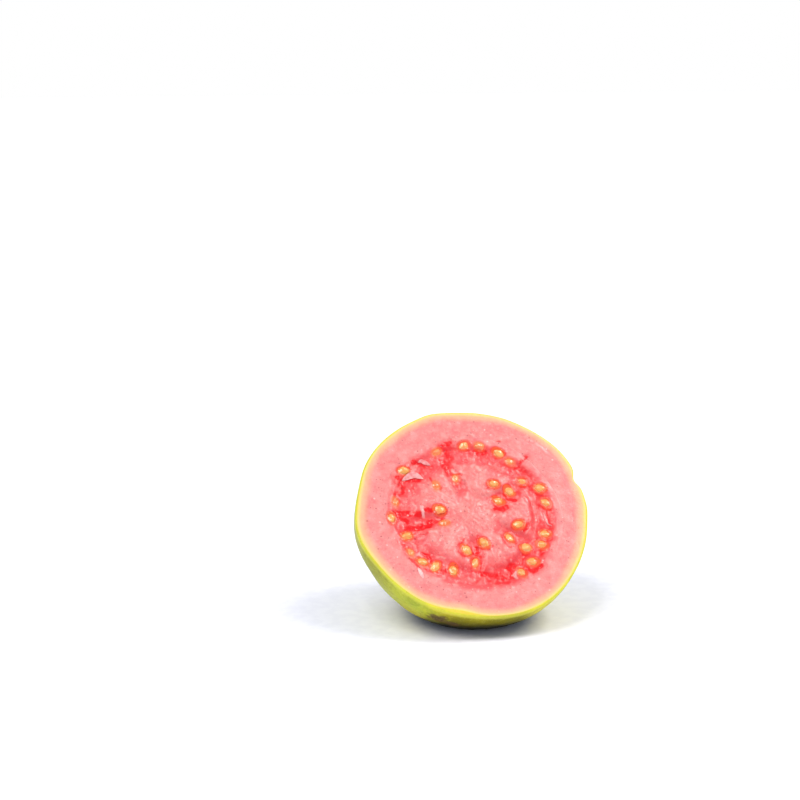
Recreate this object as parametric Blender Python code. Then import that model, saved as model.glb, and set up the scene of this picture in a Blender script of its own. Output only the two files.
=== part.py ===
"""Half a guava, cut across its middle, as a part in metres with +Z up.

The half lies on a small flat spot pressed into its skin, with the cut face turned
up and to the front (-Y). The origin is the centre of that spot, under the middle of
the cut face. Each piece is modelled in the fruit's own frame, where the cut face is
the XY plane, the fruit hangs below it and the blossom end is at the bottom, and an
empty then leans the fruit back as it lies.

Three pieces grew in different tissue and show as such: the skin with the firm flesh
under it, the soft pulp with the seeds in it, and the dried calyx at the blossom end.
"""

import math
import random

import bmesh
import bpy
from mathutils import Matrix, Vector

# Size and lie of the whole half
FRUIT_RADIUS = 0.030
FRUIT_DEPTH = 0.0306
LEAN = math.radians(46)
REST_PRESS = 0.0022
GAP = 0.0003
MERGE = 0.000002
SEAM_MERGE = 0.00002

# Swellings of the rim, each a clock angle on the cut face (0 to the right, 90 up),
# how far the skin stands out there and how wide the swelling is
RIM_SWELLS = (
    (31, 0.0013, 23),
    (359, 0.0003, 6),
    (64, 0.00025, 10),
    (87, -0.00015, 6),
    (103, 0.00035, 7),
    (163, -0.0004, 10),
    (190, 0.00085, 13),
    (258, -0.0002, 13),
    (295, 0.0007, 20),
)
RIM_NOTCH = (15, -0.0012, 3.9)
RIM_ROUND = 0.0004

# Depths under the cut face between which the swellings fade out
SWELL_FADE = (0.002, 0.016)

# Blossom end: the skin draws in, and a round seat in it holds the calyx
POLE_DROP = 0.0012
POLE_SPREAD = math.radians(14)
SEAT_ANGLE = math.radians(10.6)
SEAT_DEPTH = 0.0012

# Pulp: its size, how far it sits off the fruit's axis, how far out that shift still
# draws the flesh along, and the relief of its cut face
PULP_RADIUS = 0.0230
PULP_DEPTH = 0.0190
PULP_SHIFT = Vector((0.0, -0.0010, 0.0))
SHIFT_REACH = 0.0270
LOBE_WAVE = 0.012
LOBE_RISE = 0.0005
SEPTUM_SINK = 0.0009
WALL_SINK = 0.0007
CORE_RISE = 0.0002

# Spans over which that relief rises or fades, in mm beside a seam or out from the centre
LOBE_SIDE = (1.0, 3.5)
LOBE_START = (3, 8)
LOBE_END = (13, 17)
SEAM_SIDE = (0.6, 2.6)
SEAM_START = (5.5, 8.5)
SEAM_END = (18, 20.5)
WALL_START = (14.5, 16.5)
WALL_END = (19.5, 21.5)
CORE_END = (1, 5)

# Clock angles of the five seams between the seed chambers
SEPTA = (30, 104, 184, 265, 325)
LOBE_SPAN = 30

# Seeds, each as distance from the centre in mm, clock angle and the clock angle that
# its long axis lies along: first those in the seams, then those along the outer wall
SEAM_SEEDS = (
    ((8.1, 24, 150), (12.3, 29, 135), (17.1, 31, 160), (11.0, 52, 5)),
    ((11.0, 104, 75), (12.4, 132, 100)),
    ((8.8, 166, 170), (8.0, 195, 10)),
    ((8.4, 280, 140), (10.5, 250, 125), (14.0, 263, 85)),
    ((11.8, 343, 22), (11.2, 318, 108), (15.9, 319, 0)),
)
WALL_SEEDS = (
    ((19.4, 50, 155), (20.2, 61, 150), (20.9, 76, 155), (20.5, 87, 5)),
    ((20.0, 109, 20), (21.2, 139, 5), (20.1, 166, 80), (21.5, 179, 100)),
    ((18.7, 196, 175), (20.3, 209, 120), (19.8, 220, 165), (18.6, 230, 58), (17.3, 244, 95)),
    ((19.9, 299, 115), (19.7, 312, 8)),
    ((19.2, 329, 150), (19.1, 339, 172), (19.9, 6, 130), (20.1, 19, 165)),
)
SEED_LENGTH = 0.0036
SEED_WIDTH = 0.0026
SEED_THICKNESS = 0.0021
SEED_TAPER = 0.3
SEED_LIFT = 0.0001
SEED_TURN = math.radians(12)
DRAW = 7

# Calyx: a low dried ring with five short ragged sepals
CALYX_DISH = 0.0030
SEPAL_COUNT = 5
SEPAL_LENGTH = 0.0022
SEPAL_RISE = 0.0004
SEPAL_THICKNESS = 0.0006
SEPAL_VARIES = (0.7, 1.1)

# The two steps that a sepal grows in, each as its share of the length, its share of the
# rise and how much of its width it keeps
SEPAL_GROWTH = ((0.55, 0.5, 0.85), (0.45, 0.5, 0.45))

# How finely the round shapes are divided
TURN_STEPS = 72
SKIN_STEPS = 17
CAVITY_STEPS = 9
CALYX_STEPS = 20
SEED_DIVISIONS = 2
PULP_RINGS = (0.955, 0.90, 0.84, 0.77, 0.70, 0.62, 0.54, 0.46, 0.38, 0.30, 0.21, 0.11)
SHARP_EDGE = math.radians(35)


def clear_scene():
    """Take away whatever the file opened with."""
    for item in list(bpy.data.objects):
        bpy.data.objects.remove(item, do_unlink=True)


def linear(hex_colour):
    """A colour written as sRGB hex, as the linear values that a shader takes."""
    values = []
    for start in (1, 3, 5):
        level = int(hex_colour[start:start + 2], 16) / 255
        values.append(level / 12.92 if level <= 0.04045 else ((level + 0.055) / 1.055) ** 2.4)
    return (*values, 1.0)


def material(name, colour, roughness):
    """A plain finish: colour, roughness and no metal."""
    finish = bpy.data.materials.new(name)
    finish.use_nodes = True
    shader = finish.node_tree.nodes["Principled BSDF"]
    shader.inputs["Base Color"].default_value = linear(colour)
    shader.inputs["Roughness"].default_value = roughness
    shader.inputs["Metallic"].default_value = 0.0
    finish.diffuse_color = linear(colour)
    return finish


def ramp(value, low, high):
    """0 below low, 1 above high, and a smooth rise between them."""
    share = min(max((value - low) / (high - low), 0.0), 1.0)
    return share * share * (3 - 2 * share)


def clock_gap(clock, other):
    """Degrees between two clock angles, the short way round, with its sign."""
    return (clock - other + 180) % 360 - 180


def clock_of(point):
    """Clock angle of a point seen on the cut face, in degrees."""
    return math.degrees(math.atan2(point.y, point.x)) % 360


def swell(clock):
    """How far the skin stands out from a true circle at a clock angle."""
    total = 0.0
    for centre, height, width in (*RIM_SWELLS, RIM_NOTCH):
        total += height * math.exp(-(clock_gap(clock, centre) / width) ** 2)
    return total


def lobe_factor(clock):
    """The pulp's outline: it bulges at each seed chamber and draws in at each seam."""
    nearest = min(abs(clock_gap(clock, septum)) for septum in SEPTA)
    return 1 + LOBE_WAVE * (2 * ramp(nearest, 0, LOBE_SPAN) - 1)


def pulp_height(distance, clock):
    """Relief of the pulp's cut face: domed lobes, wet seams and a sunk outer wall."""
    mm = distance * 1000
    nearest = min(abs(clock_gap(clock, septum)) for septum in SEPTA)
    beside = mm * math.radians(nearest)
    lobe = LOBE_RISE * ramp(beside, *LOBE_SIDE) * ramp(mm, *LOBE_START) * (1 - ramp(mm, *LOBE_END))
    seam = SEPTUM_SINK * (1 - ramp(beside, *SEAM_SIDE)) * ramp(mm, *SEAM_START) * (1 - ramp(mm, *SEAM_END))
    wall = WALL_SINK * ramp(mm, *WALL_START) * (1 - ramp(mm, *WALL_END))
    core = CORE_RISE * (1 - ramp(mm, *CORE_END))
    return lobe + core - max(seam, wall)


def turned(profile, steps):
    """A closed body turned from a profile of (radius, height) points, axis to axis."""
    body = bmesh.new()
    points = [body.verts.new((radius, 0.0, height)) for radius, height in profile]
    edges = [body.edges.new(pair) for pair in zip(points, points[1:])]
    bmesh.ops.spin(
        body, geom=points + edges, cent=(0, 0, 0), axis=(0, 0, 1), dvec=(0, 0, 0),
        angle=math.tau, steps=steps, use_merge=True, use_duplicate=False,
    )
    bmesh.ops.remove_doubles(body, verts=body.verts, dist=MERGE)
    bmesh.ops.dissolve_degenerate(body, edges=body.edges, dist=MERGE)
    bmesh.ops.recalc_face_normals(body, faces=body.faces)
    return body


def arc(radius, depth, start, end, steps):
    """Points of a quarter oval hanging under the cut face, by angle from its lowest point."""
    points = []
    for step in range(steps + 1):
        angle = start + (end - start) * step / steps
        points.append((radius * math.sin(angle), -depth * math.cos(angle)))
    return points


def face_height():
    """Height of the cut face's middle: the skin's reach straight down, less the pressed spot."""
    reach = math.hypot(FRUIT_RADIUS * math.sin(LEAN), FRUIT_DEPTH * math.cos(LEAN))
    return reach - REST_PRESS


def leaning_frame():
    """An empty that carries the fruit's own frame as the half lies."""
    frame = bpy.data.objects.new("guava_half_frame", None)
    frame.location = (0.0, 0.0, face_height())
    frame.rotation_euler = (LEAN, 0.0, 0.0)
    frame.empty_display_size = FRUIT_RADIUS
    bpy.context.scene.collection.objects.link(frame)
    bpy.context.view_layer.update()
    return frame


def place(name, body, frame, finishes):
    """Turn a bmesh into a named, smooth-shaded object carried by the fruit's frame."""
    mesh = bpy.data.meshes.new(name)
    body.to_mesh(mesh)
    body.free()
    for finish in finishes:
        mesh.materials.append(finish)
    mesh.shade_smooth()
    mesh.set_sharp_from_angle(angle=SHARP_EDGE)
    item = bpy.data.objects.new(name, mesh)
    item.parent = frame
    bpy.context.scene.collection.objects.link(item)
    return item


def skin_point(angle):
    """Place of the skin, as (radius, height), at an angle from the blossom end."""
    reach = FRUIT_RADIUS - POLE_DROP * math.exp(-(angle / POLE_SPREAD) ** 2)
    return reach * math.sin(angle), -reach * math.cos(angle) * FRUIT_DEPTH / FRUIT_RADIUS


def skin_profile():
    """Outline of the skin and flesh: seat, skin, rim, cut face and the hollow for the pulp."""
    seat_radius, mouth = skin_point(SEAT_ANGLE)
    floor = mouth + SEAT_DEPTH
    profile = [(0.0, floor), (seat_radius * 0.5, floor), (seat_radius, floor)]
    for step in range(SKIN_STEPS):
        profile.append(skin_point(SEAT_ANGLE + (math.pi / 2 - SEAT_ANGLE) * step / SKIN_STEPS))
    profile.append((FRUIT_RADIUS, -RIM_ROUND))
    profile.append((FRUIT_RADIUS - RIM_ROUND, 0.0))
    hollow = PULP_RADIUS + GAP
    profile.append((0.5 * (FRUIT_RADIUS + hollow), 0.0))
    profile += reversed(arc(hollow, PULP_DEPTH + GAP, 0, math.pi / 2, CAVITY_STEPS))
    return profile


def skin_and_flesh(frame, skin, flesh):
    """The firm cup: skin outside, flesh on the cut face, hollow where the pulp sits."""
    body = turned(skin_profile(), TURN_STEPS)
    for point in body.verts:
        clock = clock_of(point.co)
        radius = math.hypot(point.co.x, point.co.y)
        if in_hollow(radius, point.co.z):
            point.co.x *= lobe_factor(clock)
            point.co.y *= lobe_factor(clock)
        else:
            share = ramp(point.co.length, PULP_RADIUS, FRUIT_RADIUS) * (1 - ramp(-point.co.z, *SWELL_FADE))
            point.co *= 1 + share * swell(clock) / FRUIT_RADIUS
    press_flat(body, frame)
    for face in body.faces:
        middle = face.calc_center_median()
        cut = face.normal.z > 0.5 or in_hollow(math.hypot(middle.x, middle.y), middle.z)
        face.material_index = 1 if cut else 0
    for point in body.verts:
        point.co += PULP_SHIFT * (1 - ramp(point.co.length, PULP_RADIUS + 2 * GAP, SHIFT_REACH))
    return place("skin_and_flesh", body, frame, (skin, flesh))


def in_hollow(radius, height):
    """Whether a place is on the wall of the hollow that the pulp sits in."""
    return math.hypot(radius / (PULP_RADIUS + 2 * GAP), height / (PULP_DEPTH + 2 * GAP)) < 1


def press_flat(body, frame):
    """Cut the resting spot: everything under the surface it lies on goes, and is closed flat."""
    into_fruit = frame.matrix_world.inverted()
    down = (into_fruit.to_3x3() @ Vector((0, 0, -1))).normalized()
    cut = bmesh.ops.bisect_plane(
        body, geom=body.verts[:] + body.edges[:] + body.faces[:], dist=MERGE,
        plane_co=into_fruit @ Vector((0, 0, 0)), plane_no=down, clear_outer=True,
    )
    edges = [part for part in cut["geom_cut"] if isinstance(part, bmesh.types.BMEdge)]
    bmesh.ops.contextual_create(body, geom=edges)
    bmesh.ops.recalc_face_normals(body, faces=body.faces)


def pulp_profile():
    """Outline of the pulp: its rounded underside, then its cut face in rings to the centre."""
    profile = arc(PULP_RADIUS, PULP_DEPTH, 0, math.pi / 2, CAVITY_STEPS)
    profile += [(PULP_RADIUS * ring, 0.0) for ring in PULP_RINGS]
    profile.append((0.0, 0.0))
    return profile


def seed(distance, clock, lie, spin, collection):
    """One seed, half sunk in the pulp: a flattened oval, narrower at the end it hung by."""
    body = bmesh.new()
    bmesh.ops.create_icosphere(body, subdivisions=SEED_DIVISIONS, radius=1.0)
    for point in body.verts:
        narrow = 1 - SEED_TAPER * max(point.co.x, 0.0) ** 2
        point.co.y *= narrow
        point.co.z *= narrow
    size = Matrix.Diagonal((SEED_LENGTH / 2, SEED_WIDTH / 2, SEED_THICKNESS / 2, 1))
    lying = math.radians(lie) + spin
    outward = math.radians(clock)
    endwise = abs(math.cos(lying - outward))
    reach = (SEED_WIDTH + (SEED_LENGTH - SEED_WIDTH) * endwise) / 2
    distance = min(distance, PULP_RADIUS * lobe_factor(clock) - reach - GAP)
    height = pulp_height(distance, clock) + SEED_LIFT
    middle = Vector((distance * math.cos(outward), distance * math.sin(outward), height))
    spot = Matrix.Translation(middle + PULP_SHIFT)
    bmesh.ops.transform(body, matrix=spot @ Matrix.Rotation(lying, 4, "Z") @ size, verts=body.verts)
    mesh = bpy.data.meshes.new("seed")
    body.to_mesh(mesh)
    body.free()
    collection.objects.link(bpy.data.objects.new("seed", mesh))


def in_fixed_order(mesh):
    """The same mesh sorted by place, because a union leaves its points and faces in any order."""
    order = sorted(range(len(mesh.vertices)), key=lambda index: tuple(mesh.vertices[index].co))
    rank = {index: place for place, index in enumerate(order)}
    rings = []
    for face in mesh.polygons:
        ring = [rank[index] for index in face.vertices]
        start = ring.index(min(ring))
        rings.append(ring[start:] + ring[:start])
    fixed = bpy.data.meshes.new(mesh.name)
    fixed.from_pydata([mesh.vertices[index].co for index in order], [], sorted(rings))
    return fixed


def fuse_seeds(item):
    """Join every seed to the pulp it grows from, so that they are one body."""
    draw = random.Random(DRAW)
    seeds = bpy.data.collections.new("seeds")
    bpy.context.scene.collection.children.link(seeds)
    for group in (*SEAM_SEEDS, *WALL_SEEDS):
        for distance, clock, lie in group:
            seed(distance / 1000, clock, lie, draw.uniform(-SEED_TURN, SEED_TURN), seeds)
    for piece in seeds.objects:
        piece.parent = item.parent
    join = item.modifiers.new("seeds", "BOOLEAN")
    join.operation = "UNION"
    join.solver = "EXACT"
    join.operand_type = "COLLECTION"
    join.collection = seeds
    bpy.context.view_layer.update()
    fused = bpy.data.meshes.new_from_object(item.evaluated_get(bpy.context.evaluated_depsgraph_get()))
    item.modifiers.clear()
    fixed = in_fixed_order(fused)
    body = bmesh.new()
    body.from_mesh(fixed)
    bmesh.ops.remove_doubles(body, verts=body.verts, dist=SEAM_MERGE)
    bmesh.ops.dissolve_degenerate(body, edges=body.edges, dist=SEAM_MERGE)
    bmesh.ops.triangulate(body, faces=body.faces)
    body.to_mesh(fixed)
    body.free()
    fixed.materials.append(item.data.materials[0])
    fixed.shade_smooth()
    fixed.set_sharp_from_angle(angle=SHARP_EDGE)
    bpy.data.meshes.remove(fused)
    item.data = fixed
    fixed.name = item.name
    for piece in list(seeds.objects):
        bpy.data.objects.remove(piece, do_unlink=True)
    bpy.data.collections.remove(seeds)


def pulp_with_seeds(frame, pulp):
    """The soft heart of the fruit, with the seeds standing out of its cut face."""
    body = turned(pulp_profile(), TURN_STEPS)
    for point in body.verts:
        clock = clock_of(point.co)
        point.co.x *= lobe_factor(clock)
        point.co.y *= lobe_factor(clock)
        if point.co.z > -MERGE:
            point.co.z += pulp_height(math.hypot(point.co.x, point.co.y), clock)
        point.co += PULP_SHIFT
    bmesh.ops.triangulate(body, faces=body.faces)
    item = place("pulp_with_seeds", body, frame, (pulp,))
    fuse_seeds(item)
    return item


def calyx_profile(radius, base, seated, lip):
    """Outline of the dried ring: flat against its seat, a raised lip and a shallow dish."""
    dish = 0.5 * (base + lip)
    return [
        (0.0, base),
        (radius, base),
        (radius, seated),
        (radius - 0.5 * GAP, lip),
        (radius - 3 * GAP, lip),
        (CALYX_DISH, dish),
        (0.0, dish),
    ]


def dried_calyx(frame, husk):
    """The dried crown at the blossom end: a ring in its seat, with five short sepals."""
    seat_radius, mouth = skin_point(SEAT_ANGLE)
    radius = seat_radius - GAP
    seated = mouth - GAP
    base = mouth + SEAT_DEPTH - GAP
    body = turned(calyx_profile(radius, base, seated, seated - SEPAL_THICKNESS), CALYX_STEPS)
    share = CALYX_STEPS // SEPAL_COUNT
    draw = random.Random(DRAW)
    roots = []
    for face in body.faces:
        middle = face.calc_center_median()
        outward = math.hypot(middle.x, middle.y) > radius - GAP
        if outward and middle.z < seated:
            roots.append((clock_of(middle), face))
    roots.sort(key=lambda entry: entry[0])
    for count in range(SEPAL_COUNT):
        pair = [face for clock, face in roots[count * share:count * share + 2]]
        grow_sepal(body, pair, draw.uniform(*SEPAL_VARIES))
    bmesh.ops.recalc_face_normals(body, faces=body.faces)
    return place("dried_calyx", body, frame, (husk,))


def grow_sepal(body, faces, length):
    """Draw one sepal out of the ring's lip: out over the skin, narrower at its tip."""
    for reach, rise, width in SEPAL_GROWTH:
        grown = bmesh.ops.extrude_face_region(body, geom=faces)
        points = [part for part in grown["geom"] if isinstance(part, bmesh.types.BMVert)]
        bmesh.ops.delete(body, geom=faces, context="FACES_ONLY")
        faces = [part for part in grown["geom"] if isinstance(part, bmesh.types.BMFace)]
        middle = sum((point.co for point in points), Vector()) / len(points)
        out = Vector((middle.x, middle.y, 0)).normalized()
        side = Vector((-out.y, out.x, 0))
        for point in points:
            point.co -= side * side.dot(point.co - middle) * (1 - width)
            point.co += out * SEPAL_LENGTH * reach * length
            point.co.z -= SEPAL_RISE * rise * length


def build():
    """Model the three pieces on the fruit's frame."""
    clear_scene()
    frame = leaning_frame()
    skin = material("guava_skin", "#d2cc46", 0.42)
    flesh = material("guava_flesh", "#fc9b96", 0.38)
    pulp = material("guava_pulp", "#fa6468", 0.28)
    husk = material("dried_calyx_husk", "#2b2118", 0.85)
    skin_and_flesh(frame, skin, flesh)
    pulp_with_seeds(frame, pulp)
    dried_calyx(frame, husk)


build()
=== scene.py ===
"""Half a guava, cut across, lying on a pale table: the looks, built round the packed model.

Shapes are worked out in the fruit's own frame, in millimetres: the cut face is the XY
plane with its middle at the origin, the fruit hangs below it, and clock angles run from
0 at the right to 90 at the top. FRUIT_FRAME then leans the fruit back as it lies.
"""

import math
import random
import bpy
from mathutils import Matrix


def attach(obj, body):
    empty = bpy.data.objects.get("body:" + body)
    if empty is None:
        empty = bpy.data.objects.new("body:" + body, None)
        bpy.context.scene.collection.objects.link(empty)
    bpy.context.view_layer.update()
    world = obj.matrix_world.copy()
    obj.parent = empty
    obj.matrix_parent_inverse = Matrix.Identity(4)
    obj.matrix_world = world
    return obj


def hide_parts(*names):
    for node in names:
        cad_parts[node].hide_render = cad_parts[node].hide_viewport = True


bl_info = {
    "name": "Guava half",
    "version": (1, 0, 0),
    "blender": (4, 5, 0),
    "location": "3D View > Sidebar > Guava",
    "description": "Builds half a guava with its seedy cut face, on a pale studio table",
    "category": "Object",
}

import bmesh
import bpy
import numpy as np
from mathutils import Matrix, Vector, noise

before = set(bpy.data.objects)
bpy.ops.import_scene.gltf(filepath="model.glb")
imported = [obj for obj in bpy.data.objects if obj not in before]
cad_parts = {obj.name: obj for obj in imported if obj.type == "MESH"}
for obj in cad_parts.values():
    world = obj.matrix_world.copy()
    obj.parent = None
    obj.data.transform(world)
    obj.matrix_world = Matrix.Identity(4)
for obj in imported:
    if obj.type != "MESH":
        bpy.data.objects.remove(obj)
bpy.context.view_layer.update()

# The fruit and how it lies, in millimetres: leaning back, and pressed flat where it rests,
# with a soft edge round that spot
FRUIT_RADIUS = 30.0
FRUIT_DEPTH = 30.6
LEAN = math.radians(46)
REST_PRESS = 2.2
REST_EDGE = 0.3
FACE_HEIGHT = math.hypot(FRUIT_RADIUS * math.sin(LEAN), FRUIT_DEPTH * math.cos(LEAN)) - REST_PRESS
FRUIT_FRAME = Matrix.Translation((0, 0, FACE_HEIGHT / 1000)) @ Matrix.Rotation(LEAN, 4, "X")
TO_PART = FRUIT_FRAME @ Matrix.Scale(0.001, 4)

# The cut rim: its swellings and its notch, each as a clock angle, a height and a spread in
# degrees, then how round its edge is and the depths between which the swellings fade
RIM_SWELLS = (
    (31, 1.3, 23), (359, 0.3, 6), (64, 0.25, 10), (87, -0.15, 6), (103, 0.35, 7), (163, -0.4, 10),
    (190, 0.85, 13), (258, -0.2, 13), (295, 0.7, 20), (15, -1.2, 3.9),
)
RIM_ROUND = 0.4
SWELL_FADE = (2, 16)

# The blossom end: how far it is drawn in, and the seat that the calyx fills
POLE_DROP = 1.2
POLE_SPREAD = math.radians(14)
SEAT_ANGLE = math.radians(10.6)
SEAT_DEPTH = 1.2

# The pulp and its hollow, which is larger by the solids' gap and lies off the middle of the
# face; its shift is felt out to SHIFT_REACH, and the finer pulp laps a little into the flesh
GAP = 0.3
PULP_RADIUS = 23.0
PULP_DEPTH = 19.0
PULP_LAP = 0.08
PULP_SHIFT = np.array((0.0, -1.0))
SHIFT_REACH = 27.0
HOLLOW_RADIUS = PULP_RADIUS + GAP
HOLLOW_DEPTH = PULP_DEPTH + GAP

# The seams between the seed chambers, as clock angles, and the pulp's relief round them
SEPTA = (30, 104, 184, 265, 325)
LOBE_WAVE = 0.012
LOBE_RISE = 0.5
SEPTUM_SINK = 0.9
WALL_SINK = 0.7
CORE_RISE = 0.2

# Share of that relief that juice fills once the fruit is cut
JUICE_FILL = 0.25

# The solid's round outline is cut in flats, and the finer peel stays this far inside it
FLATS = 0.03

# How finely the round bodies are drawn: steps round the fruit, up the peel, across the
# flesh, across the pulp and down the hollow
TURN_STEPS = 360
PEEL_STEPS = 112
FLESH_STEPS = 30
PULP_STEPS = 112
HOLLOW_STEPS = 16

# Seeds: distance from the centre, clock angle, clock angle of the long axis, and how far
# the pulp covers them, from 0, bare, to 1, only showing through
SEEDS = (
    (8.1, 24, 150, 0.0), (12.3, 29, 135, 0.0), (17.1, 31, 160, 0.5), (11.0, 52, 5, 0.2),
    (11.0, 104, 75, 0.65), (12.4, 132, 100, 0.9),
    (8.8, 166, 170, 0.0), (8.0, 195, 10, 0.95),
    (8.4, 280, 140, 0.0), (10.5, 250, 125, 0.1), (14.0, 263, 85, 0.4),
    (11.8, 343, 22, 0.0), (11.2, 318, 108, 0.2), (15.9, 319, 0, 0.0),
    (19.4, 50, 155, 0.7), (20.2, 61, 150, 0.15), (20.9, 76, 155, 0.7), (20.5, 87, 5, 0.4),
    (20.0, 109, 20, 0.8), (21.2, 139, 5, 0.15), (20.1, 166, 80, 0.8), (21.5, 179, 100, 0.3),
    (18.7, 196, 175, 0.1), (20.3, 209, 120, 0.7), (19.8, 220, 165, 0.15), (18.6, 230, 58, 0.1),
    (17.3, 244, 95, 0.15), (19.9, 299, 115, 0.35), (19.7, 312, 8, 0.1),
    (19.2, 329, 150, 0.2), (19.1, 339, 172, 0.15), (19.9, 6, 130, 0.3), (20.1, 19, 165, 0.1),
)

# How far a seed's middle stands over the face in the solid, how much narrower one end is,
# how far the long axes waver, and the number that starts the draws
SEED_LIFT = 0.1
SEED_TAPER = 0.3
SEED_TURN = math.radians(12)
SEED_DRAW = 7

# Here a seed lies deeper, more so under pulp; it fills a drawn share of its size, and takes
# a share of its cover's colour
SEED_SINK = 0.40
VEIL_SINK = 0.45
SEED_FILL = (0.84, 0.97)
VEIL_TINT = 0.75

# How much lower on the face a spot looks from the camera for each millimetre that it is
# sunk, and how far down the face a seed's glow falls; that lower glow is partly gel colour
# and partly painted shade under the seed
SEEN_LOWER = 0.565
GLOW_AND_SHADE_DROP = 0.45

# Wet red gel on the cut face, each streak as half its width, its depth of colour and
# the points that it runs through
GEL_STREAKS = (
    (1.0, 1.0, (-19.8, 1.7), (-16.6, 1.4), (-13.9, 0.9)),
    (0.8, 0.9, (-12.0, 2.3), (-10.2, 1.9)),
    (1.0, 0.9, (-19.2, 0.3), (-17.3, -1.2)),
    (0.9, 1.0, (-17.6, -3.0), (-15.0, -3.1), (-12.0, -2.3), (-10.9, -1.2)),
    (0.7, 0.7, (-11.6, -1.2), (-9.8, -1.6), (-7.8, -1.0)),
    (0.7, 0.5, (-19.6, -2.8), (-19.4, -6.4), (-18.5, -8.8)),
    (0.5, 0.5, (-14.2, -5.1), (-12.5, -4.3)),
    (0.9, 1.0, (-18.2, 12.0), (-17.9, 10.5), (-17.0, 9.2), (-17.2, 7.6)),
    (1.0, 0.7, (-17.4, 7.5), (-19.2, 6.8), (-18.6, 4.8)),
    (0.8, 0.95, (-17.0, 10.8), (-14.4, 10.8), (-12.5, 11.0)),
    (0.9, 0.9, (-13.2, 16.3), (-11.9, 15.8)),
    (0.9, 0.65, (-11.8, 15.6), (-10.0, 14.9), (-8.6, 14.6)),
    (1.2, 0.45, (-10.5, 14.2), (-11.6, 12.8)),
    (0.6, 0.6, (-9.4, 11.4), (-9.0, 9.2), (-7.5, 8.3)),
    (0.8, 0.9, (-2.6, 21.4), (-4.0, 21.1), (-4.9, 20.5)),
    (1.5, 0.5, (-5.6, 20.6), (-3.0, 19.9), (-0.5, 19.4)),
    (1.6, 0.65, (-4.2, 19.0), (-3.4, 16.6), (-4.6, 14.6), (-4.3, 12.4)),
    (1.3, 0.8, (-5.6, 15.9), (-4.6, 14.0)),
    (0.5, 0.7, (-3.6, 11.5), (-1.2, 11.8)),
    (0.7, 0.6, (-0.6, 19.4), (2.0, 18.9)),
    (0.9, 0.9, (3.8, 18.5), (4.9, 17.6), (6.5, 18.2)),
    (0.6, 0.6, (9.1, 16.0), (9.5, 16.3)),
    (0.55, 0.7, (12.8, 12.7), (14.3, 13.2), (15.6, 15.0), (17.2, 16.3)),
    (0.8, 0.4, (11.4, 12.8), (12.7, 12.2)),
    (0.35, 0.5, (10.0, 21.2), (10.7, 21.2)),
    (0.7, 0.75, (5.6, 8.6), (6.7, 8.1)),
    (0.5, 0.5, (6.0, 8.0), (4.8, 7.3)),
    (0.7, 0.8, (9.1, 5.2), (9.9, 4.5)),
    (0.7, 1.0, (10.5, 3.7), (11.7, 3.4)),
    (0.6, 0.5, (12.5, 6.6), (13.2, 4.5)),
    (0.8, 1.0, (6.0, 1.7), (7.5, 1.1), (9.0, 1.7)),
    (0.5, 0.6, (5.4, 3.6), (5.8, 2.2)),
    (0.7, 0.8, (13.8, 7.4), (15.1, 7.2)),
    (0.8, 0.4, (13.0, 6.8), (12.9, 5.2)),
    (0.6, 0.5, (16.6, 9.8), (18.8, 8.7)),
    (0.7, 0.7, (17.6, 5.0), (19.5, 4.5)),
    (0.7, 0.75, (17.5, 1.4), (18.6, 0.8), (20.2, 0.2), (20.6, -0.6)),
    (0.6, 0.5, (18.2, 3.4), (18.2, 2.0)),
    (0.4, 0.6, (20.3, -2.5), (20.2, -3.7)),
    (1.1, 1.0, (12.0, -4.3), (13.1, -4.8), (13.5, -4.0)),
    (0.6, 0.6, (13.9, -2.4), (14.3, -3.6)),
    (0.6, 0.5, (15.7, -6.4), (16.4, -7.7)),
    (0.5, 0.7, (18.1, -8.5), (19.1, -8.3)),
    (0.7, 0.9, (11.2, -12.0), (13.6, -11.6)),
    (0.8, 0.5, (11.0, -12.6), (12.2, -13.0)),
    (0.4, 0.5, (6.6, -6.2), (6.5, -8.2), (7.4, -9.7), (9.0, -9.8), (10.0, -8.6), (10.0, -6.8)),
    (0.8, 1.0, (11.9, -16.4), (12.7, -17.2), (13.6, -16.6), (14.8, -15.6)),
    (1.5, 1.0, (7.6, -15.4), (6.6, -16.4), (7.2, -17.5)),
    (1.2, 0.85, (-0.5, -16.9), (2.0, -17.6), (4.5, -18.2), (6.5, -18.0)),
    (0.8, 0.6, (1.0, -19.2), (3.5, -19.6), (6.0, -19.7)),
    (1.0, 0.5, (-1.4, -16.0), (-2.7, -16.4)),
    (0.9, 1.0, (-0.4, -9.9), (-1.2, -11.3), (-0.4, -12.1)),
    (0.45, 0.65, (0.4, -6.4), (0.0, -8.4), (0.9, -9.9), (2.5, -10.1), (3.5, -9.2)),
    (0.6, 0.6, (-3.5, -6.8), (-4.9, -8.0), (-5.3, -10.0), (-4.5, -11.6), (-3.0, -11.8)),
    (0.6, 0.7, (-0.3, -13.6), (-0.4, -16.0)),
    (0.5, 0.5, (-2.9, -13.0), (-3.0, -15.2)),
    (0.7, 0.8, (-14.6, -10.2), (-13.2, -11.2), (-13.0, -12.9)),
    (0.9, 0.8, (-10.4, -15.7), (-9.4, -15.4)),
    (0.5, 0.5, (-10.8, -12.5), (-10.4, -13.9)),
    (0.5, 0.55, (-18.2, -11.2), (-17.0, -12.9), (-16.2, -13.9)),
    (0.4, 0.7, (-15.3, -14.0), (-14.7, -14.5)),
    (1.5, 0.3, (-6.4, -12.6), (-5.2, -15.6)),
    (1.6, 0.3, (3.0, -13.0), (9.6, -13.4)),
    (2.0, 0.3, (11.4, 14.0), (8.0, 13.2), (9.6, 11.6)),
    (1.6, 0.5, (16.4, 2.0), (15.8, -2.6)),
    (1.6, 0.25, (0.6, -15.0), (4.6, -15.2)),
)
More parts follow.
